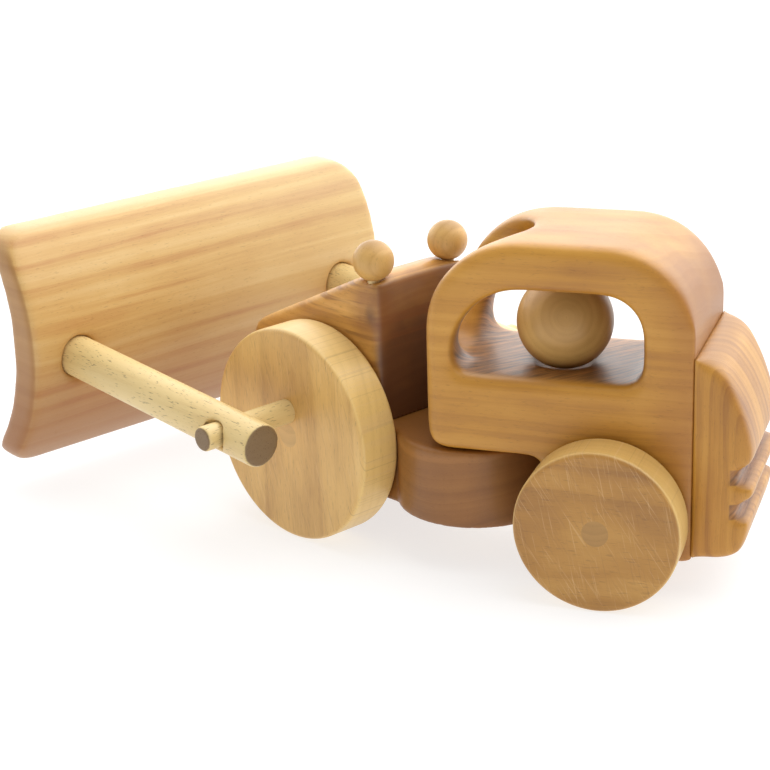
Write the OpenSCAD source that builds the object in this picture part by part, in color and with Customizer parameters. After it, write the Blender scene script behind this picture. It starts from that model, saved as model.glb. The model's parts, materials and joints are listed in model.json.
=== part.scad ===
// Articulated wooden toy tractor with a curved pusher blade.
// The rear section carries the cab, the driver ball and the small wheels; the front section
// carries the hood, the large wheels and the blade, and steers about an upright pivot pin.
// Inside each section X points forwards, Y to the tractor's left and Z up.

/* [Steering and blade] */
// Angle of the front section to the right of straight ahead
steer = 27.5; // [0:0.5:35]
// Angle of the blade arms above level
lift = 5.5; // [0:0.5:20]
// Turn of the front wheels: 90 puts the crank pegs straight above the axle
crank_turn = 90; // [60:1:120]
// Distance of the crank pegs from the front axle
crank_throw = 8.2; // [8.2:0.2:12]

/* [Cab] */
// Width of the cab and of the rear block
cab_w = 51; // [46:1:51]
// Front of the cab, forward of the pivot
cab_front = 9.5; // [7:0.5:10]
// Length of the cab from its front to the glued seam
cab_len = 82; // [80:1:84]
// Rounding of the cab's upright edges
cab_edge_r = 4.5; // [4:0.5:6]
// Height of the roof above the floor
cab_top = 106.5; // [104:0.5:112]
// Lowest point of the cab's rear leg
leg_bottom = 11; // [9:1:14]
// Front face of the rear leg, behind the pivot
leg_front = 27; // [26.5:0.5:28]
// Radius of the roof's front corner
roof_front_r = 30; // [24:1:32]
// Radius of the roof's rear corner
roof_rear_r = 26; // [20:1:28]

/* [Cab openings] */
// Height of the window floor, on which the driver sits
window_floor = 65; // [63:1:66]
// Top of the side window
window_top = 92; // [90:1:93]
// Wood between the cab's front and the window
window_front_wall = 9; // [8:0.5:11]
// Length of the side window
window_len = 57.5; // [54:0.5:58]
// Width of the windscreen slot
windscreen_w = 34; // [28:1:36]
// Sill height of the windscreen slot
windscreen_sill = 72; // [72:1:75]
// Length of the windscreen slot, from its sill up into the roof
windscreen_len = 43; // [41:1:46]
// Slope of the windscreen slot
windscreen_slope = 47; // [44:1:50]

/* [Rear block] */
// Depth of the block behind the seam
block_depth = 18; // [17:0.5:20]
// Top of the block
block_top = 75.5; // [72:0.5:76]
// Underside of the block
block_bottom = 13.5; // [12:0.5:15]
// Height of one louvre groove
groove_h = 4.6; // [4:0.2:6]
// Distance from one groove to the next
groove_pitch = 10.7; // [9:0.1:12]
// Underside of the lower groove
groove_z = 27; // [25:0.5:30]

/* [Wheels] */
// Radius of a rear wheel
rear_wheel_r = 25; // [22:0.5:26]
// Radius of a front wheel
front_wheel_r = 35; // [33:0.5:36]
// Thickness of a rear wheel
rear_wheel_t = 14; // [12:0.5:15]
// Thickness of a front wheel
front_wheel_t = 15.5; // [13:0.5:16.5]
// Rounding of the wheels' rims
rim_round = 1.6; // [0.8:0.2:3]
// Radius of both axles
axle_r = 4; // [3.5:0.5:4]
// Rear axle, behind the pivot
rear_axle_x = 47; // [46:0.5:49]
// Front axle, ahead of the pivot
front_axle_x = 49; // [48.5:0.5:52]
// Gap between the cab and a rear wheel
rear_gap = 1; // [1:0.5:2]
// Gap between the chassis and a front wheel
front_gap = 0.8; // [0.6:0.1:1.4]

/* [Front section] */
// Width of the chassis board and of the hood
hood_w = 40; // [38:1:42]
// Underside of the chassis board
chassis_bottom = 15.5; // [14:0.5:17]
// Top of the chassis board
chassis_top = 40.5; // [40:0.5:41]
// Front end of the chassis board, ahead of the pivot
chassis_front = 88; // [86:1:92]
// Radius of the round tail under the cab
tail_r = 25.5; // [24:0.5:25.5]
// Rear face of the hood, ahead of the pivot
hood_rear = 22.5; // [22:0.5:24]
// Front face of the hood, ahead of the pivot
hood_front = 86; // [82:1:88]
// Height of the hood at its rear end
hood_top = 87.5; // [84:0.5:90]
// Length of the hood's level stretch
hood_level = 8.5; // [8:0.5:14]
// Slope of the hood's bonnet below level
hood_slope = 25; // [20:0.5:28]
// Radius of the hood's nose
nose_r = 40; // [30:1:42]

/* [Beads] */
// Radius of a headlight bead
bead_r = 6.5; // [5:0.5:7]
// Distance of each headlight from the centre plane
bead_y = 16.4; // [14:0.2:17]
// Headlights, ahead of the pivot
bead_x = 27.5; // [27:0.5:29]
// Radius of the driver ball
driver_r = 14.8; // [12:0.1:15]
// Driver, behind the pivot
driver_x = 28.5; // [26:0.5:30]
// Radius of the round seat drilled for the driver
driver_seat_r = 9; // [8:0.5:10]

/* [Blade and arms] */
// Length of the blade, across the tractor
blade_len = 158; // [150:1:170]
// Height of the blade
blade_h = 83; // [70:1:84]
// Thickness of the blade, along the arms
blade_t = 13; // [11:0.5:14]
// Radius of the blade's curve
blade_curve_r = 57; // [50:1:70]
// Radius of the blade's four corners
blade_corner_r = 10; // [6:1:14]
// Back of the blade, ahead of the crank pegs
blade_reach = 77.5; // [75:0.5:90]
// Height of the blade's middle above the arms' centre line
blade_rise = 0; // [-2:0.5:4]
// Radius of an arm
arm_r = 7; // [6:0.5:8]
// Distance of each arm from the centre plane
arm_y = 60; // [56:0.5:62]
// Length of arm behind the crank peg
arm_tail = 15.5; // [11:0.5:16]
// Depth of the holes that hold the arms in the blade
arm_socket = 9; // [6:0.5:9]
// Radius of a crank peg
peg_r = 4; // [3.5:0.5:4]
// Length of peg standing out of the arm
peg_out = 4; // [3:0.5:6]

/* [Pivot] */
// Radius of the upright pivot pin
pivot_r = 5; // [4:0.5:6]
// Top of the pivot pin inside the cab
pivot_top = 58; // [50:1:60]
// Radius of the cap let into the underside of the tail
cap_r = 11; // [8:0.5:14]
// Thickness of the cap
cap_t = 5; // [3:0.5:6]

/* [Hidden] */
// Names of the sub-parts
$fn = 96;

// Radial clearance of a pin that turns in its bore
running = 0.05;
// Gap between faces that slide past each other
slide_gap = 0.3;
// Room around the pivot cap, and its distance inside the underside
cap_room = 0.5;
// Extra length that carries a cut past a face
past = 1;
// Rounding at the ends of the dowels
dowel_round = 0.8;

// Middle of the steered toy's footprint, measured from the pivot
middle_x = 42.55;
middle_y = -48.59;

seam_x = cab_front - cab_len;
cab_bottom = chassis_top + slide_gap;
rear_wheel_y = cab_w / 2 + rear_gap;
front_wheel_y = hood_w / 2 + front_gap;
front_track = front_wheel_y + front_wheel_t;
rear_track = rear_wheel_y + rear_wheel_t;
peg_socket = 10;
peg_x = front_axle_x + crank_throw * cos(crank_turn);
peg_z = front_wheel_r + crank_throw * sin(crank_turn);
peg_inner = front_track - peg_socket;
peg_outer = arm_y + arm_r + peg_out;
arm_front = blade_reach + arm_socket;
cap_low = chassis_bottom + cap_room;
bead_pin_r = 2;
bead_pin_depth = 6;
bead_seat_r = 4.2;
bead_z = hood_top + sqrt(bead_r * bead_r - bead_seat_r * bead_seat_r);
driver_z = window_floor + sqrt(driver_r * driver_r - driver_seat_r * driver_seat_r);

// Oiled hardwood, its end grain, and the paler dowels and beads
side_grain = [0.83, 0.58, 0.33];
end_grain = [0.50, 0.30, 0.17];
wheel_wood = [0.74, 0.55, 0.34];
dowel_wood = [0.80, 0.64, 0.41];

// ---- placing ----

// The rear section stands square to the origin
module in_rear() {
    translate([-middle_x, -middle_y, 0]) children();
}

// The front section turns about the pivot
module in_front() {
    in_rear() rotate([0, 0, -steer]) children();
}

// The blade and its arms turn about the crank pegs, X running along the arms
module in_blade() {
    in_front() translate([peg_x, 0, peg_z]) rotate([0, -lift, 0]) children();
}

// One child on the given side: 1 is left, -1 is right
module on_side(side) {
    if (side > 0) children();
    else mirror([0, 1, 0]) children();
}

// ---- shared shapes ----

// What is cut from a square corner at the origin to round it; the body lies towards -sx, -sy
module corner_cut(r, sx, sy) {
    difference() {
        translate([sx > 0 ? -r : -past, sy > 0 ? -r : -past]) square(r + past);
        translate([-sx * r, -sy * r]) circle(r);
    }
}

// Rectangle between two corners, its corners rounded in the order
// near-left, near-right, far-right, far-left
module round_rect(low, high, radii) {
    corners = [[low.x, low.y], [high.x, low.y], [high.x, high.y], [low.x, high.y]];
    signs = [[-1, -1], [1, -1], [1, 1], [-1, 1]];
    difference() {
        translate(low) square(high - low);
        for (i = [0:3])
            translate(corners[i]) corner_cut(radii[i], signs[i].x, signs[i].y);
    }
}

// A side view swept across the tractor, centred
module across(width) {
    rotate([90, 0, 0]) linear_extrude(width, center = true) children();
}

// A pin along Y from y0 to y1
module pin_y(r, y0, y1) {
    translate([0, y0, 0]) rotate([-90, 0, 0]) cylinder(r = r, h = y1 - y0);
}

// A round bar along Z with softened ends
module dowel(r, length) {
    rotate_extrude() intersection() {
        round_rect([-r, 0], [r, length], [dowel_round, dowel_round, dowel_round, dowel_round]);
        square([r, length]);
    }
}

// A round bar along Y from y0 to y1
module dowel_y(r, y0, y1) {
    translate([0, y0, 0]) rotate([-90, 0, 0]) dowel(r, y1 - y0);
}

// A plain disc wheel on the left, its inner face at the given distance, bored for the axle
module disc_wheel(r, inner, thickness) {
    translate([0, inner, 0]) rotate([-90, 0, 0]) difference() {
        rotate_extrude() intersection() {
            round_rect([-r, 0], [r, thickness], [rim_round, rim_round, rim_round, rim_round]);
            square([r, thickness]);
        }
        translate([0, 0, -past]) cylinder(r = axle_r, h = thickness + 2 * past);
    }
}

// ---- rear section ----

// Side view of the solid cab: the roof, the overhang and the rear leg
module cab_profile() {
    // Rounding where the overhang meets the leg
    step_r = 2;
    front_low_r = 6;
    leg_r = 3;
    difference() {
        round_rect([seam_x, cab_bottom], [cab_front, cab_top],
                   [past, front_low_r, roof_front_r, roof_rear_r]);
        translate([-leg_front, cab_bottom - past]) square([past, past]);
    }
    round_rect([seam_x, leg_bottom], [-leg_front, cab_bottom + 2 * past], [leg_r, leg_r, past, past]);
    translate([-leg_front, cab_bottom]) difference() {
        translate([0, -step_r]) square([step_r, step_r + past / 2]);
        translate([step_r, -step_r]) circle(step_r);
    }
}

// Side view of the window that runs through the cab
module window_profile() {
    rear_r = 12;
    floor_r = 5;
    front_r = window_top - window_floor - floor_r - 0.5;
    window_x = cab_front - window_front_wall;
    round_rect([window_x - window_len, window_floor], [window_x, window_top],
               [floor_r, floor_r, front_r, rear_r]);
}

// The round-ended windscreen slot, cut square to its slope from the window's hollow outwards
module windscreen_cut() {
    inside = 30;
    outside = 20;
    end_r = windscreen_w / 2;
    intersection() {
        translate([cab_front, 0, windscreen_sill]) rotate([0, windscreen_slope, 0])
            translate([0, 0, -inside]) linear_extrude(inside + outside)
                round_rect([-windscreen_len, -end_r], [0, end_r], [end_r, end_r, end_r, end_r]);
        translate([-cab_len, -cab_w / 2, window_floor]) cube([2 * cab_len, cab_w, cab_len]);
    }
}

module cab() {
    seat_depth = 4;
    color(side_grain) in_rear() difference() {
        intersection() {
            across(cab_w) cab_profile();
            linear_extrude(cab_top + past)
                round_rect([seam_x, -cab_w / 2], [cab_front, cab_w / 2],
                           [past, cab_edge_r, cab_edge_r, past]);
        }
        across(cab_w + 2 * past) window_profile();
        windscreen_cut();
        translate([-driver_x, 0, window_floor - seat_depth])
            cylinder(r = driver_seat_r, h = seat_depth + past);
        translate([0, 0, cab_bottom - past]) cylinder(r = pivot_r, h = pivot_top - cab_bottom + past);
        translate([-rear_axle_x, 0, rear_wheel_r])
            pin_y(axle_r + running, -cab_w / 2 - past, cab_w / 2 + past);
    }
}

// Side view of the rear block: its back is one long curve that rolls over into the top
module block_profile() {
    back_r = 65;
    back_z = 37.5;
    low_r = 11;
    top_r = 10.6;
    back_x = seam_x - block_depth;
    // Middle of the small curve that touches both the long curve and the top
    high = block_top - top_r - back_z;
    roll = [back_x + back_r - sqrt(pow(back_r - top_r, 2) - high * high), block_top - top_r];
    towards = (roll - [back_x + back_r, back_z]) / (back_r - top_r);
    difference() {
        intersection() {
            round_rect([back_x, block_bottom], [seam_x, block_top],
                       [low_r, past / 2, past / 2, past / 2]);
            translate([back_x + back_r, back_z]) circle(back_r, $fn = 180);
        }
        difference() {
            polygon([
                roll,
                roll + [0, 2 * top_r],
                roll + [-2 * top_r, 2 * top_r],
                roll + 2 * top_r * towards
            ]);
            translate(roll) circle(top_r);
        }
    }
}

// Side view of one louvre groove, its inner end leaning and its mouth wider
module groove_profile() {
    low_depth = 7;
    top_depth = 4.8;
    mouth = 1.8;
    back_x = seam_x - block_depth;
    polygon([
        [back_x - past, 0],
        [back_x + low_depth, 0],
        [back_x + top_depth, groove_h],
        [back_x, groove_h + mouth],
        [back_x - past, groove_h + mouth]
    ]);
}

module rear_block() {
    color(side_grain) in_rear() difference() {
        across(cab_w) block_profile();
        for (i = [0:1])
            translate([0, 0, groove_z + i * groove_pitch])
                across(cab_w + 2 * past) groove_profile();
    }
}

module driver_ball() {
    color(dowel_wood) in_rear() translate([-driver_x, 0, driver_z]) sphere(driver_r);
}

module pivot_pin() {
    color(dowel_wood) in_rear() translate([0, 0, cap_low])
        cylinder(r = pivot_r, h = pivot_top - cap_low);
}

module pivot_cap() {
    color(wheel_wood) in_rear() translate([0, 0, cap_low]) difference() {
        rotate_extrude() intersection() {
            round_rect([-cap_r, 0], [cap_r, cap_t], [rim_round, rim_round, dowel_round, dowel_round]);
            square([cap_r, cap_t]);
        }
        translate([0, 0, -past]) cylinder(r = pivot_r, h = cap_t + 2 * past);
    }
}

module rear_axle() {
    color(dowel_wood) in_rear() translate([-rear_axle_x, 0, rear_wheel_r])
        pin_y(axle_r, -rear_track, rear_track);
}

module rear_wheel(side) {
    color(wheel_wood) in_rear() translate([-rear_axle_x, 0, rear_wheel_r])
        on_side(side) disc_wheel(rear_wheel_r, rear_wheel_y, rear_wheel_t);
}

// ---- front section ----

module front_chassis() {
    nose_corner_r = 10;
    color(end_grain) in_front() difference() {
        translate([0, 0, chassis_bottom]) linear_extrude(chassis_top - chassis_bottom) {
            circle(tail_r, $fn = 180);
            round_rect([0, -hood_w / 2], [chassis_front, hood_w / 2],
                       [past / 2, nose_corner_r, nose_corner_r, past / 2]);
        }
        translate([0, 0, chassis_bottom - past])
            cylinder(r = pivot_r + running, h = chassis_top - chassis_bottom + 2 * past);
        translate([0, 0, chassis_bottom - past])
            cylinder(r = cap_r + cap_room, h = past + cap_room + cap_t + slide_gap);
        translate([front_axle_x, 0, front_wheel_r])
            pin_y(axle_r + running, -hood_w / 2 - past, hood_w / 2 + past);
    }
}

// Side view of the hood: level at the rear, then a slope down to the rounded nose
module hood_profile() {
    level_x = hood_rear + hood_level;
    low_x = hood_front + past;
    low_z = hood_top - (low_x - level_x) * tan(hood_slope);
    intersection() {
        round_rect([hood_rear, chassis_top], [hood_front, hood_top + past],
                   [past / 2, past / 2, nose_r, past / 2]);
        polygon([
            [hood_rear - past, chassis_top - past],
            [hood_rear - past, hood_top],
            [level_x, hood_top],
            [low_x, low_z],
            [low_x, chassis_top - past]
        ]);
    }
}

module hood() {
    color(side_grain) in_front() difference() {
        across(hood_w) hood_profile();
        for (side = [-1, 1])
            translate([bead_x, side * bead_y, 0]) {
                translate([0, 0, hood_top - bead_pin_depth])
                    cylinder(r = bead_pin_r, h = bead_pin_depth + past);
                translate([0, 0, bead_z]) sphere(bead_r);
            }
    }
}

module headlight(side) {
    color(dowel_wood) in_front() translate([bead_x, side * bead_y, bead_z]) difference() {
        sphere(bead_r);
        translate([0, 0, -bead_r - past]) cylinder(r = bead_pin_r, h = bead_r + past);
    }
}

module headlight_pin(side) {
    low = hood_top - bead_pin_depth;
    color(dowel_wood) in_front() translate([bead_x, side * bead_y, low])
        cylinder(r = bead_pin_r, h = bead_z - low);
}

module front_axle() {
    color(dowel_wood) in_front() translate([front_axle_x, 0, front_wheel_r])
        pin_y(axle_r, -front_track, front_track);
}

module front_wheel(side) {
    color(wheel_wood) in_front() on_side(side) difference() {
        translate([front_axle_x, 0, front_wheel_r])
            disc_wheel(front_wheel_r, front_wheel_y, front_wheel_t);
        translate([peg_x, 0, peg_z]) pin_y(peg_r + running, peg_inner, front_track + past);
    }
}

module crank_peg(side) {
    color(dowel_wood) in_front() translate([peg_x, 0, peg_z])
        on_side(side) dowel_y(peg_r, peg_inner, peg_outer);
}

// ---- blade and arms ----

module arm(side) {
    // The hole opens out where the peg leaves the arm
    mouth_r = peg_r + 1;
    mouth_depth = 2.5;
    color(dowel_wood) in_blade() on_side(side) difference() {
        translate([-arm_tail, arm_y, 0]) rotate([0, 90, 0]) dowel(arm_r, arm_tail + arm_front);
        pin_y(peg_r + running, arm_y - arm_r - past, arm_y + arm_r + past);
        pin_y(mouth_r, arm_y + arm_r - mouth_depth, arm_y + arm_r + past);
    }
}

// Section of the blade: one curve cut twice, a blade's thickness apart, its hollow facing forwards
module blade_section() {
    intersection() {
        difference() {
            translate([blade_curve_r, 0]) circle(blade_curve_r, $fn = 180);
            translate([blade_curve_r + blade_t, 0]) circle(blade_curve_r, $fn = 180);
        }
        translate([0, -blade_h / 2]) square([blade_curve_r, blade_h]);
    }
}

module blade() {
    color(side_grain) in_blade() difference() {
        translate([blade_reach, 0, blade_rise]) intersection() {
            across(blade_len) blade_section();
            rotate([90, 0, 90]) linear_extrude(blade_curve_r)
                round_rect([-blade_len / 2, -blade_h / 2], [blade_len / 2, blade_h / 2],
                           [blade_corner_r, blade_corner_r, blade_corner_r, blade_corner_r]);
        }
        for (side = [-1, 1])
            translate([0, side * arm_y, 0]) rotate([0, 90, 0]) cylinder(r = arm_r, h = arm_front);
    }
}

// ---- the assembly ----

cab();
rear_block();
driver_ball();
pivot_pin();
pivot_cap();
rear_axle();
rear_wheel(1);  // rear_wheel_left
rear_wheel(-1);  // rear_wheel_right
front_chassis();
hood();
headlight(1);  // headlight_left
headlight(-1);  // headlight_right
headlight_pin(1);  // headlight_pin_left
headlight_pin(-1);  // headlight_pin_right
front_axle();
front_wheel(1);  // front_wheel_left
front_wheel(-1);  // front_wheel_right
crank_peg(1);  // crank_peg_left
crank_peg(-1);  // crank_peg_right
arm(1);  // arm_left
arm(-1);  // arm_right
blade();
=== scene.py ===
"""Looks of the wooden toy tractor: sanded edges, one wood per board, a white table and soft light.

Every piece is a CAD node. Its corners are softened by modifiers, as sandpaper does, and its wood is
a solid procedural texture in the piece's own space, so that rings, fibres and end grain agree on all
its faces.
"""

import json
import math

import bpy
from mathutils import Matrix, Vector


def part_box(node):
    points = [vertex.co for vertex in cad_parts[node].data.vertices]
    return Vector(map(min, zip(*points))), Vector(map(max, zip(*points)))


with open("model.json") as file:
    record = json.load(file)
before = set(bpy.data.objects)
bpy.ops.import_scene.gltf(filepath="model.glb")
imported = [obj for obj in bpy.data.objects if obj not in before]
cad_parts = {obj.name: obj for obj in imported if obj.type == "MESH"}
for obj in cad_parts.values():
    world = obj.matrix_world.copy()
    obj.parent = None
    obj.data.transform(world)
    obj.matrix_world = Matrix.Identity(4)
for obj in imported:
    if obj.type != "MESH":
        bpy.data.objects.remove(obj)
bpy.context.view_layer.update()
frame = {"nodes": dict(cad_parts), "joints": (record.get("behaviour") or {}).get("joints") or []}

MM = 0.001
UP = Vector((0, 0, 1))
JOINTS = {joint["name"]: joint for joint in frame["joints"]}

# The rear section looks along +X. The front section's sideways direction is its wheels' axis.
REAR_AHEAD = Vector((1, 0, 0))
REAR_SIDE = Vector((0, 1, 0))
FRONT_SIDE = Vector(JOINTS["front_wheel_spin"]["axis"])
FRONT_AHEAD = FRONT_SIDE.cross(UP)
PIVOT = Vector(JOINTS["steering"]["pos_m"])
PIVOT.z = 0
# The plane where the block is glued to the cab, and the board's top, where the hood is glued on
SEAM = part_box("rear_block")[1].x
CHASSIS_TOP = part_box("hood")[0].z
# The block's rear, in mm ahead of the pivot
BLOCK_BACK = (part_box("rear_block")[0].x - PIVOT.x) / MM


def middle(node):
    """Centre of a CAD node's box."""
    low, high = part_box(node)
    return (low + high) / 2


# ---- camera, table and light ----

def make_camera():
    """Looks down at the tractor from behind its left side, as the reference view does."""
    place = Vector((-0.20675, 0.60839, 0.2531))
    turn = math.radians(160.76)
    dip = math.radians(18.6)
    roll = math.radians(-1.86)
    forward = Vector((math.sin(turn) * math.cos(dip), math.cos(turn) * math.cos(dip), -math.sin(dip)))
    level = Vector((math.cos(turn), -math.sin(turn), 0))
    upright = level.cross(forward)
    right = level * math.cos(roll) + upright * math.sin(roll)
    top = upright * math.cos(roll) - level * math.sin(roll)

    data = bpy.data.cameras.new("camera")
    data.sensor_width = 36
    data.lens = 92.3
    data.shift_x = 0.0045
    data.shift_y = -0.0094
    data.clip_start, data.clip_end = 0.02, 20
    camera = bpy.data.objects.new("camera", data)
    facing = Matrix((right, top, -forward)).transposed()
    camera.matrix_world = Matrix.Translation(place) @ facing.to_4x4()
    bpy.context.scene.collection.objects.link(camera)
    bpy.context.scene.camera = camera


def make_table():
    """A wide white table top under the wheels, bright enough to leave only faint shadows."""
    half = 6.0
    mesh = bpy.data.meshes.new("table_top")
    corners = [(-half, -half, 0), (half, -half, 0), (half, half, 0), (-half, half, 0)]
    mesh.from_pydata(corners, [], [(0, 1, 2, 3)])
    table = bpy.data.objects.new("table_top", mesh)
    bpy.context.scene.collection.objects.link(table)
    paint = bpy.data.materials.new("white_paper")
    paint.use_nodes = True
    shader = paint.node_tree.nodes["Principled BSDF"]
    shader.inputs["Base Color"].default_value = (0.36, 0.36, 0.36, 1)
    shader.inputs["Emission Color"].default_value = (1, 1, 1, 1)
    shader.inputs["Emission Strength"].default_value = 0.7
    shader.inputs["Roughness"].default_value = 0.9
    shader.inputs["Specular IOR Level"].default_value = 0.1
    mesh.materials.append(paint)


def make_light():
    """White surroundings, brightest behind the tractor, and a very wide soft light from above."""
    behind = (0.33, -0.944, 0)
    downwards = Vector((0.42, 0.22, -0.88))
    world = bpy.data.worlds.new("white_room")
    world.use_nodes = True
    background = world.node_tree.nodes["Background"]
    add, link = world.node_tree.nodes.new, world.node_tree.links.new
    sky = add("ShaderNodeTexCoord")
    facing = add("ShaderNodeVectorMath")
    strength = add("ShaderNodeMapRange")
    facing.operation = "DOT_PRODUCT"
    facing.inputs[1].default_value = behind
    strength.inputs["From Min"].default_value = -0.2
    strength.inputs["To Min"].default_value = 0.46
    strength.inputs["To Max"].default_value = 2.5
    link(sky.outputs["Generated"], facing.inputs[0])
    link(facing.outputs["Value"], strength.inputs["Value"])
    link(strength.outputs["Result"], background.inputs["Strength"])
    background.inputs["Color"].default_value = (1, 1, 1, 1)
    bpy.context.scene.world = world

    data = bpy.data.lights.new("window_light", "SUN")
    data.energy = 2.15
    data.angle = math.radians(75)
    data.color = (1, 0.985, 0.95)
    light = bpy.data.objects.new("window_light", data)
    light.rotation_euler = downwards.to_track_quat("-Z", "Y").to_euler()
    bpy.context.scene.collection.objects.link(light)
    bpy.context.scene.view_settings.view_transform = "Standard"


# ---- shader building ----

class Graph:
    """The node tree of one material, with short calls that add and join its nodes."""

    def __init__(self, name):
        self.material = bpy.data.materials.new(name)
        self.material.use_nodes = True
        self.tree = self.material.node_tree
        self.shader = self.tree.nodes["Principled BSDF"]

    def put(self, socket, value):
        if isinstance(value, bpy.types.NodeSocket):
            self.tree.links.new(value, socket)
        else:
            socket.default_value = value

    def add(self, kind, inputs, **settings):
        node = self.tree.nodes.new(kind)
        for key, value in settings.items():
            setattr(node, key, value)
        for key, value in inputs.items():
            self.put(node.inputs[key], value)
        return node

    def math(self, operation, first, second=0.0):
        return self.add("ShaderNodeMath", {0: first, 1: second}, operation=operation).outputs[0]

    def scaled(self, value, factor):
        return self.math("MULTIPLY", value, factor)

    def total(self, *values):
        result = values[0]
        for value in values[1:]:
            result = self.math("ADD", result, value)
        return result

    def dot(self, vector, direction):
        return self.add("ShaderNodeVectorMath", {0: vector, 1: direction},
                        operation="DOT_PRODUCT").outputs["Value"]

    def vector(self, x, y, z):
        return self.add("ShaderNodeCombineXYZ", {0: x, 1: y, 2: z}).outputs[0]

    def stretched(self, vector, scale):
        return self.add("ShaderNodeVectorMath", {0: vector, 1: scale}, operation="MULTIPLY").outputs[0]

    def shifted(self, vector, offset):
        return self.add("ShaderNodeVectorMath", {0: vector, 1: offset}, operation="ADD").outputs[0]

    def millimetres(self, place, origin=Vector()):
        """A place in metres, as millimetres from origin."""
        return self.stretched(self.shifted(place, -origin), (1 / MM,) * 3)

    def noise(self, vector, detail, roughness=0.5):
        """Noise around 0, from about -0.5 to 0.5, whose patches are about one unit wide."""
        noise = self.add("ShaderNodeTexNoise", {
            "Vector": vector, "Scale": 1.0, "Detail": detail, "Roughness": roughness})
        return self.math("SUBTRACT", noise.outputs["Fac"], 0.5)

    def step(self, value, low, high):
        """0 below low, 1 above high, smooth between."""
        return self.add("ShaderNodeMapRange", {"Value": value, "From Min": low, "From Max": high},
                        interpolation_type="SMOOTHSTEP").outputs["Result"]

    def ramp(self, value, stops):
        """Colours between (position, colour) stops."""
        node = self.add("ShaderNodeValToRGB", {"Fac": value})
        elements = node.color_ramp.elements
        while len(elements) < len(stops):
            elements.new(0.5)
        for element, (position, colour) in zip(elements, stops):
            element.position = position
            element.color = colour
        return node.outputs["Color"]

    def mix(self, factor, first, second):
        """The first colour where factor is 0, the second where it is 1."""
        node = self.add("ShaderNodeMix", {"Factor": factor}, data_type="RGBA")
        self.put(next(i for i in node.inputs if i.name == "A" and i.type == "RGBA"), first)
        self.put(next(i for i in node.inputs if i.name == "B" and i.type == "RGBA"), second)
        return next(o for o in node.outputs if o.type == "RGBA")


def rgb(red, green, blue):
    """An sRGB colour, 0 to 255, as opaque linear light."""
    linear = (c / 12.92 if c <= 0.04045 else ((c + 0.055) / 1.055) ** 2.4
              for c in (red / 255, green / 255, blue / 255))
    return (*linear, 1)


def toned(colour, factor, lift=0.0):
    """The same colour darker, with a little light added."""
    return (*(c * factor + lift for c in colour[:3]), 1)


class Wood:
    """How one kind of timber looks. Lengths are in millimetres."""

    def __init__(self, light, mid, dark, end, ring=3.2, ring_depth=0.22, fibre=0.16, streak=0.3,
                 streak_width=9.0, blotch=0.25, fleck=0.35, fleck_length=2.2, wobble=2.0):
        self.light, self.mid, self.dark, self.end = light, mid, dark, end
        self.ring, self.ring_depth = ring, ring_depth
        self.fibre = fibre
        self.streak, self.streak_width = streak, streak_width
        self.blotch = blotch
        self.fleck, self.fleck_length = fleck, fleck_length
        self.wobble = wobble


ALDER = Wood(light=rgb(216, 160, 66), mid=rgb(194, 136, 44), dark=rgb(150, 92, 28),
             end=rgb(176, 122, 54), ring=5.0, ring_depth=0.08, fibre=0.12, streak=0.42, streak_width=12.0,
             blotch=0.34, fleck=0.2)
BLOCK = Wood(light=rgb(220, 164, 68), mid=rgb(190, 132, 44), dark=rgb(138, 82, 26),
             end=rgb(176, 122, 54), ring=3.4, ring_depth=0.11, fibre=0.14, streak=0.42, streak_width=7.0,
             blotch=0.34, fleck=0.2)
ALDER_RED = Wood(light=rgb(172, 114, 48), mid=rgb(142, 90, 32), dark=rgb(104, 62, 20),
                 end=rgb(134, 88, 42), ring=4.0, ring_depth=0.06, fibre=0.12, streak=0.3, fleck=0.2)
HOOD = Wood(light=rgb(228, 176, 96), mid=rgb(206, 150, 68), dark=rgb(150, 92, 38),
            end=rgb(150, 96, 48), ring=5.0, ring_depth=0.12, fibre=0.14, streak=0.5, streak_width=10.0,
            blotch=0.34, fleck=0.2)
HONEY = Wood(light=rgb(236, 208, 150), mid=rgb(216, 176, 108), dark=rgb(182, 118, 62),
             end=rgb(166, 116, 62), ring=8.0, ring_depth=0.12, fibre=0.16, streak=0.5,
             streak_width=11.0, blotch=0.2, fleck=0.22, wobble=1.6)
DISC = Wood(light=rgb(238, 198, 124), mid=rgb(220, 176, 102), dark=rgb(176, 128, 68),
            end=rgb(212, 172, 110), ring=3.2, ring_depth=0.08, fibre=0.22, streak=0.3, blotch=0.34,
            fleck=0.3, fleck_length=3.0)
DISC_BROWN = Wood(light=rgb(204, 154, 76), mid=rgb(180, 128, 54), dark=rgb(144, 96, 44),
                  end=rgb(204, 158, 88), ring=3.2, ring_depth=0.12, fibre=0.22, streak=0.5, blotch=0.5,
                  fleck=0.3, fleck_length=3.0)
AXLE = Wood(light=rgb(196, 150, 80), mid=rgb(176, 128, 62), dark=rgb(140, 94, 44),
            end=rgb(188, 142, 78), ring=2.4, ring_depth=0.12, fibre=0.2, streak=0.3, blotch=0.34,
            fleck=0.5, fleck_length=3.0)
BEECH = Wood(light=rgb(236, 212, 154), mid=rgb(222, 194, 132), dark=rgb(188, 148, 90),
             end=rgb(80, 36, 4), ring=2.6, ring_depth=0.04, fibre=0.14, streak=0.15, blotch=0.2,
             fleck=0.75, fleck_length=2.8)
BEAD = Wood(light=rgb(234, 192, 118), mid=rgb(208, 162, 90), dark=rgb(160, 112, 52),
            end=rgb(192, 146, 80), ring=2.6, ring_depth=0.07, fibre=0.12, streak=0.3, streak_width=8.0,
            blotch=0.5, fleck=0.18)


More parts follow.
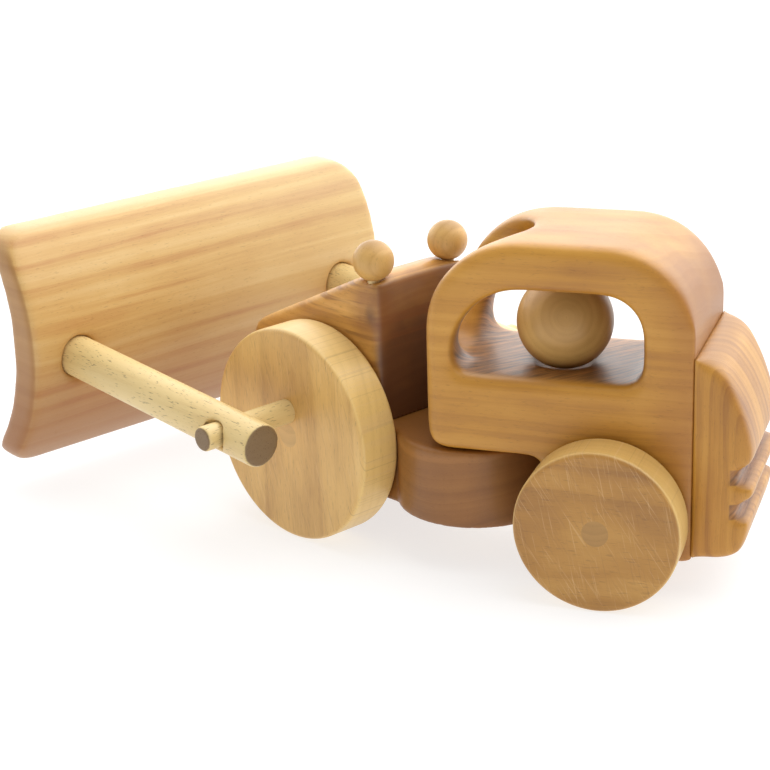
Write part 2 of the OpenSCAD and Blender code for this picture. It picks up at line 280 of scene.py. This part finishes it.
def board_space(graph, grain, pith):
    """Position in a board's own axes, in millimetres: x along the grain, and y, z across it from pith."""
    grain = grain.normalized()
    helper = UP if abs(grain.z) < 0.9 else REAR_SIDE
    tangent = helper.cross(grain).normalized()
    radial = grain.cross(tangent)
    coordinates = graph.add("ShaderNodeTexCoord", {})
    place = graph.millimetres(coordinates.outputs["Object"], pith)
    space = graph.vector(*(graph.dot(place, axis) for axis in (grain, tangent, radial)))
    along = graph.math("ABSOLUTE", graph.dot(coordinates.outputs["Normal"], grain))
    return coordinates.outputs["Object"], space, along


def wood_tone(graph, wood, space, seed):
    """Lightness of the wood from 0 to 1, and the fine relief of its fibres."""
    space = graph.shifted(space, (seed * 37.0, 0, 0))
    drift = graph.noise(graph.stretched(space, (0.008, 0.035, 0.035)), detail=2)
    drift = graph.scaled(drift, wood.wobble * 2)
    sway = graph.noise(graph.stretched(space, (0.02, 0.09, 0.09)), detail=3)
    sway = graph.scaled(sway, wood.wobble)
    split = graph.add("ShaderNodeSeparateXYZ", {0: space})
    squares = [graph.math("POWER", split.outputs[axis], 2.0) for axis in (1, 2)]
    radius = graph.total(graph.math("SQRT", graph.total(*squares)), drift, sway)
    turns = graph.scaled(radius, 1 / wood.ring)
    uneven = graph.scaled(graph.noise(graph.vector(graph.scaled(turns, 0.35), seed, 0), detail=1), 1.6)
    phase = graph.math("FRACT", graph.total(turns, uneven, 100.0))
    late = graph.math("MULTIPLY", graph.step(phase, 0.35, 0.9), graph.step(phase, 1.0, 0.93))
    fibre = graph.noise(graph.stretched(space, (0.12, 5.0, 5.0)), detail=4, roughness=0.65)
    across = 1 / wood.streak_width
    band = graph.noise(graph.vector(graph.scaled(split.outputs[0], across * 0.05),
                                    graph.scaled(radius, across * 2.2), seed), detail=3, roughness=0.6)
    blotch = graph.noise(graph.stretched(space, (0.03, 0.06, 0.06)), detail=3)
    tone = graph.total(
        0.54,
        graph.scaled(late, -wood.ring_depth),
        graph.scaled(fibre, wood.fibre * 2),
        graph.scaled(band, wood.streak * 2),
        graph.scaled(blotch, wood.blotch * 2))
    relief = graph.total(graph.scaled(fibre, 0.7), graph.scaled(late, 0.25))
    return tone, relief


def flecks(graph, wood, space, seed):
    """Short dark dashes along the grain: pores and rays."""
    stretch = (1 / wood.fleck_length, 2.6, 2.6)
    spots = graph.noise(graph.shifted(graph.stretched(space, stretch), (seed, 5.3, 1.7)), detail=1.5)
    return graph.step(spots, 0.12, 0.22)


def make_wood(name, wood, grain, pith, seed, extra):
    """A solid wood material for one piece. extra(graph, colour, place) may add the piece's own marks."""
    graph = Graph(name)
    place, space, along = board_space(graph, grain, pith)
    tone, relief = wood_tone(graph, wood, space, seed)
    colour = graph.ramp(tone, [(0.1, wood.dark), (0.5, wood.mid), (0.9, wood.light)])
    dots = flecks(graph, wood, space, seed)
    pore = toned(wood.dark, 0.4, 0.02)
    colour = graph.mix(graph.scaled(dots, wood.fleck), colour, pore)
    end = graph.scaled(graph.step(along, 0.55, 0.95), 0.8)
    shaded_end = toned(wood.end, 0.75)
    end_colour = graph.mix(graph.step(tone, 0.2, 0.9), shaded_end, wood.end)
    colour = graph.mix(end, colour, end_colour)
    if extra:
        colour = extra(graph, colour, place)
    edge = graph.step(graph.add("ShaderNodeNewGeometry", {}).outputs["Pointiness"], 0.52, 0.6)
    colour = graph.mix(graph.scaled(edge, 0.1), colour, wood.light)
    graph.put(graph.shader.inputs["Base Color"], colour)
    rough = graph.total(0.5, graph.scaled(relief, 0.12), graph.scaled(dots, 0.12), graph.scaled(end, 0.12))
    graph.put(graph.shader.inputs["Roughness"], rough)
    graph.shader.inputs["Specular IOR Level"].default_value = 0.38
    graph.shader.inputs["Coat Weight"].default_value = 0.5
    graph.shader.inputs["Coat Roughness"].default_value = 0.32
    height = graph.total(relief, graph.scaled(dots, -0.6))
    bump = graph.add("ShaderNodeBump", {"Strength": 0.22, "Distance": 0.00025, "Height": height})
    graph.put(graph.shader.inputs["Normal"], bump.outputs[0])
    return graph.material


# ---- shaping ----

def sanding(name, passes, kept):
    """Smooths a mesh's corners, except near the kept plane, where the piece lies against another.

    The plane is a direction, which points away from it into the piece, and its distance along that.
    """
    group = bpy.data.node_groups.new(name, "GeometryNodeTree")
    group.interface.new_socket("Geometry", in_out="INPUT", socket_type="NodeSocketGeometry")
    group.interface.new_socket("Geometry", in_out="OUTPUT", socket_type="NodeSocketGeometry")
    add, link = group.nodes.new, group.links.new
    source = add("NodeGroupInput")
    sink = add("NodeGroupOutput")
    place = add("GeometryNodeInputPosition")
    blur = add("GeometryNodeBlurAttribute")
    move = add("GeometryNodeSetPosition")
    blur.data_type = "FLOAT_VECTOR"
    value = next(i for i in blur.inputs if i.name == "Value" and i.enabled)
    result = next(o for o in blur.outputs if o.name == "Value" and o.enabled)
    blur.inputs["Iterations"].default_value = passes
    if kept:
        direction, distance = kept
        along = add("ShaderNodeVectorMath")
        along.operation = "DOT_PRODUCT"
        along.inputs[1].default_value = direction
        away = add("ShaderNodeMapRange")
        away.inputs["From Min"].default_value = distance + 0.3 * MM
        away.inputs["From Max"].default_value = distance + 6 * MM
        link(place.outputs[0], along.inputs[0])
        link(along.outputs["Value"], away.inputs["Value"])
        link(away.outputs["Result"], blur.inputs["Weight"])
    link(place.outputs[0], value)
    link(source.outputs[0], move.inputs["Geometry"])
    link(result, move.inputs["Position"])
    link(move.outputs[0], sink.inputs[0])
    return group


def sand(node, voxel, passes, kept):
    """Softens a CAD node's edges: an even mesh, then as many smoothing passes as the wear needs."""
    piece = frame["nodes"][node]
    remesh = piece.modifiers.new("even_mesh", "REMESH")
    remesh.mode = "VOXEL"
    remesh.voxel_size = voxel * MM
    remesh.use_smooth_shade = True
    piece.modifiers.new("sanding", "NODES").node_group = sanding(node + "_sanding", passes, kept)


# ---- marks of one piece ----

def inside_box(graph, place, low, high, soft):
    """1 inside a box measured in mm from the pivot: ahead and to the left of the cab, and up."""
    from_pivot = graph.millimetres(place, PIVOT)
    result = 1.0
    for axis, first, last in zip((REAR_AHEAD, REAR_SIDE, UP), low, high):
        along = graph.dot(from_pivot, axis)
        inside = graph.math("MULTIPLY", graph.step(along, first - soft, first + soft),
                            graph.step(along, last + soft, last - soft))
        result = graph.math("MULTIPLY", result, inside)
    return result


def sawn(graph, place, dark, light, lie):
    """Rough sawn wood: streaks across it, which lie along lie."""
    flat = graph.millimetres(place)
    along = graph.scaled(graph.dot(flat, lie), 0.05)
    across = graph.scaled(graph.dot(flat, lie.orthogonal()), 0.55)
    streaks = graph.noise(graph.vector(along, across, 0), detail=4, roughness=0.75)
    return graph.ramp(graph.total(0.48, graph.scaled(streaks, 3.0)), [(0.1, dark), (0.9, light)])


def cab_marks(graph, colour, place):
    """Red-brown wood at the rear edge, and a tunnel of rough sawn wood whose dark colour is also painted
    shade inside it.
    """
    from_seam = graph.millimetres(place, REAR_AHEAD * SEAM)
    waver = graph.noise(graph.stretched(from_seam, (0.05, 0.05, 0.02)), detail=3)
    rear = graph.step(graph.total(graph.dot(from_seam, REAR_AHEAD), graph.scaled(waver, 22)), 16, 0)
    colour = graph.mix(graph.scaled(rear, 0.42), colour, rgb(150, 84, 34))
    tunnel_low = (-58, -21.5, 63)
    tunnel_high = (2, 21.5, 93)
    # Painted shade: the tunnel's sawn wood is made dark for the shade under the roof
    tunnel_sawn_and_shade = inside_box(graph, place, tunnel_low, tunnel_high, soft=2.2)
    rough = sawn(graph, place, rgb(52, 28, 10), rgb(180, 124, 68), Vector((0.45, 0.85, 0.3)))
    return graph.mix(graph.scaled(tunnel_sawn_and_shade, 0.9), colour, rough)


def block_marks(graph, colour, place):
    """The louvre grooves are brown inside."""
    rough = sawn(graph, place, rgb(92, 52, 22), rgb(164, 110, 60), REAR_SIDE)
    past_side = 40
    for groove_z in (27.0, 37.7):
        low = (BLOCK_BACK - 3.5, -past_side, groove_z - 0.1)
        high = (BLOCK_BACK + 7.2, past_side, groove_z + 4.7)
        groove = inside_box(graph, place, low, high, soft=0.3)
        colour = graph.mix(graph.scaled(groove, 0.85), colour, rough)
    return colour


def blade_marks(graph, colour, place):
    """Painted shade towards the blade's lower edge, which faces down, browner wood towards the left end,
    and pale sapwood to the right.
    """
    from_middle = graph.millimetres(place, middle("blade"))
    waver = graph.scaled(graph.noise(graph.stretched(from_middle, (0.012, 0.012, 0.012)), detail=2), 24)
    left = graph.total(graph.dot(from_middle, FRONT_SIDE), waver)
    colour = graph.mix(graph.scaled(graph.step(left, 30, -70), 0.28), colour, rgb(244, 222, 170))
    colour = graph.mix(graph.scaled(graph.step(left, 10, 90), 0.25), colour, rgb(190, 134, 66))
    # Painted shade: browner towards the lower edge, where the blade's curve faces down
    low = graph.step(graph.total(graph.dot(from_middle, UP), waver), 20, -34)
    return graph.mix(graph.scaled(low, 0.8), colour, rgb(150, 90, 30))


def hood_marks(graph, colour, place):
    """Dark heartwood at the rear, deeper lower down as painted shade from the cab, with a knot at the left
    top corner and streaks running from it.
    """
    from_pivot = graph.millimetres(place, PIVOT)
    along = graph.dot(from_pivot, FRONT_AHEAD)
    height = graph.dot(from_pivot, UP)
    waver = graph.noise(graph.stretched(from_pivot, (0.07, 0.07, 0.07)), detail=3)
    # Painted shade: lower on the rear face, which the cab shades, the dark rear gets deeper
    low = graph.step(graph.total(height, graph.scaled(waver, 10)), 78, 66)
    heart = graph.step(graph.total(along, graph.scaled(waver, 10)), 27.5, 21.5)
    # How dark the rear is: heartwood at the top, with painted shade added lower down
    heart_and_shade_depth = graph.total(0.45, graph.scaled(low, 0.4))
    colour = graph.mix(graph.math("MULTIPLY", heart, heart_and_shade_depth), colour, rgb(92, 54, 30))
    knot = FRONT_AHEAD * 26 + FRONT_SIDE * 20 + UP * 75
    from_knot = graph.shifted(from_pivot, -knot)
    distance = graph.add("ShaderNodeVectorMath", {0: from_knot}, operation="LENGTH").outputs["Value"]
    spread = graph.total(distance, graph.scaled(waver, 8))
    colour = graph.mix(graph.scaled(graph.step(spread, 12, 5), 0.5), colour, rgb(134, 80, 40))
    colour = graph.mix(graph.scaled(graph.step(spread, 5, 1), 0.75), colour, rgb(82, 42, 20))
    streak = graph.noise(graph.vector(graph.scaled(along, 0.03), graph.scaled(height, 0.4), 3), detail=3)
    near = graph.math("MULTIPLY", graph.step(along, 66, 44), graph.step(height, 58, 70))
    dark = graph.math("MULTIPLY", near, graph.step(streak, 0.02, 0.14))
    return graph.mix(graph.scaled(dark, 0.6), colour, rgb(128, 76, 36))


def wheel_marks(axis, directions):
    """A paler rim, partly its end grain and partly a painted highlight of the light on it, and fine saw
    scratches in the given directions across a wheel's face.
    """
    def marks(graph, colour, place):
        flat = graph.millimetres(place)
        normal = graph.add("ShaderNodeTexCoord", {}).outputs["Normal"]
        # Painted highlight: the rim is mixed towards pale cream, for its grain and for the light on it
        rim_grain_and_highlight = graph.step(graph.math("ABSOLUTE", graph.dot(normal, axis)), 0.85, 0.4)
        colour = graph.mix(graph.scaled(rim_grain_and_highlight, 0.45), colour, rgb(246, 214, 136))
        for lie, seed in zip(directions, (1.0, 7.0)):
            along = graph.scaled(graph.dot(flat, lie), 0.06)
            across = graph.scaled(graph.dot(flat, lie.cross(axis).normalized()), 1.9)
            lines = graph.noise(graph.vector(along, across, seed), detail=2)
            pale = graph.step(lines, 0.1, 0.2)
            dark = graph.step(lines, -0.1, -0.22)
            colour = graph.mix(graph.scaled(pale, 0.28), colour, rgb(226, 190, 138))
            colour = graph.mix(graph.scaled(dark, 0.28), colour, rgb(140, 96, 54))
        return colour
    return marks


# ---- the pieces ----

class Piece:
    """One CAD node: its wood, which way the grain runs, and how worn its corners are."""

    def __init__(self, node, wood, grain, pith, voxel=0, passes=0, kept=None, marks=None):
        self.node, self.wood, self.grain = node, wood, grain
        # The heart of the tree, given in mm from the piece's middle
        self.pith = middle(node) + pith * MM
        # Size in mm of the even mesh that sanding needs, and its smoothing passes; 0 keeps the CAD mesh
        self.voxel, self.passes = voxel, passes
        # The plane where sanding stops, and the function that adds the piece's own marks
        self.kept, self.marks = kept, marks

    def finish(self, seed):
        """Softens the node's corners and gives it its wood."""
        data = frame["nodes"][self.node].data
        for polygon in data.polygons:
            polygon.use_smooth = True
        if self.voxel:
            sand(self.node, self.voxel, self.passes, self.kept)
        data.materials.clear()
        data.materials.append(
            make_wood(self.node + "_wood", self.wood, self.grain, self.pith, seed, self.marks))


front_marks = wheel_marks(FRONT_SIDE, (Vector((0.05, 0, 1.0)), Vector((0.35, 0, 0.93))))
rear_marks = wheel_marks(REAR_SIDE, (Vector((0.55, 0, 0.83)), Vector((0.2, 0, 0.98))))
SIDES = (("left", 1), ("right", -1))

pieces = [
    Piece("cab", ALDER, REAR_AHEAD, Vector((0, 40, -150)), 0.8, 34, (REAR_AHEAD, SEAM), cab_marks),
    Piece("rear_block", BLOCK, UP, Vector((-60, 70, 0)), 0.8, 30, (-REAR_AHEAD, -SEAM), block_marks),
    Piece("hood", HOOD, FRONT_AHEAD, UP * -90, 0.8, 40, (UP, CHASSIS_TOP), hood_marks),
    Piece("front_chassis", ALDER_RED, FRONT_AHEAD, UP * -60, 0.8, 3),
    Piece("blade", HONEY, FRONT_SIDE, UP * -120, 0.8, 26, marks=blade_marks),
]
pieces += [Piece(f"front_wheel_{side}", DISC, UP, FRONT_SIDE * 60 * out, marks=front_marks)
           for side, out in SIDES]
pieces += [Piece(f"rear_wheel_{side}", DISC_BROWN, REAR_AHEAD, REAR_SIDE * 50 * out, marks=rear_marks)
           for side, out in SIDES]
pieces += [Piece(f"arm_{side}", BEECH, FRONT_AHEAD, UP * 12, 0.5, 2) for side, _ in SIDES]
pieces += [Piece(f"crank_peg_{side}", BEECH, FRONT_SIDE, UP * 9, 0.4, 1) for side, _ in SIDES]
pieces += [
    Piece("front_axle", DISC, FRONT_SIDE, UP * 9),
    Piece("rear_axle", AXLE, REAR_SIDE, UP * 9),
    Piece("driver_ball", BEAD, Vector((-0.25, 0.95, 0.2)), UP * 2, 0.5, 2),
]
pieces += [Piece(f"headlight_{side}", BEAD, UP, FRONT_AHEAD * 8, 0.35, 2) for side, _ in SIDES]
pieces += [Piece(f"headlight_pin_{side}", BEECH, UP, UP * 0) for side, _ in SIDES]
pieces += [
    Piece("pivot_pin", BEECH, UP, REAR_AHEAD * 8),
    Piece("pivot_cap", DISC, REAR_AHEAD, UP * 40, 0.4, 1),
]

make_camera()
make_table()
make_light()
for number, piece in enumerate(pieces):
    piece.finish(seed=number * 1.37 + 0.5)
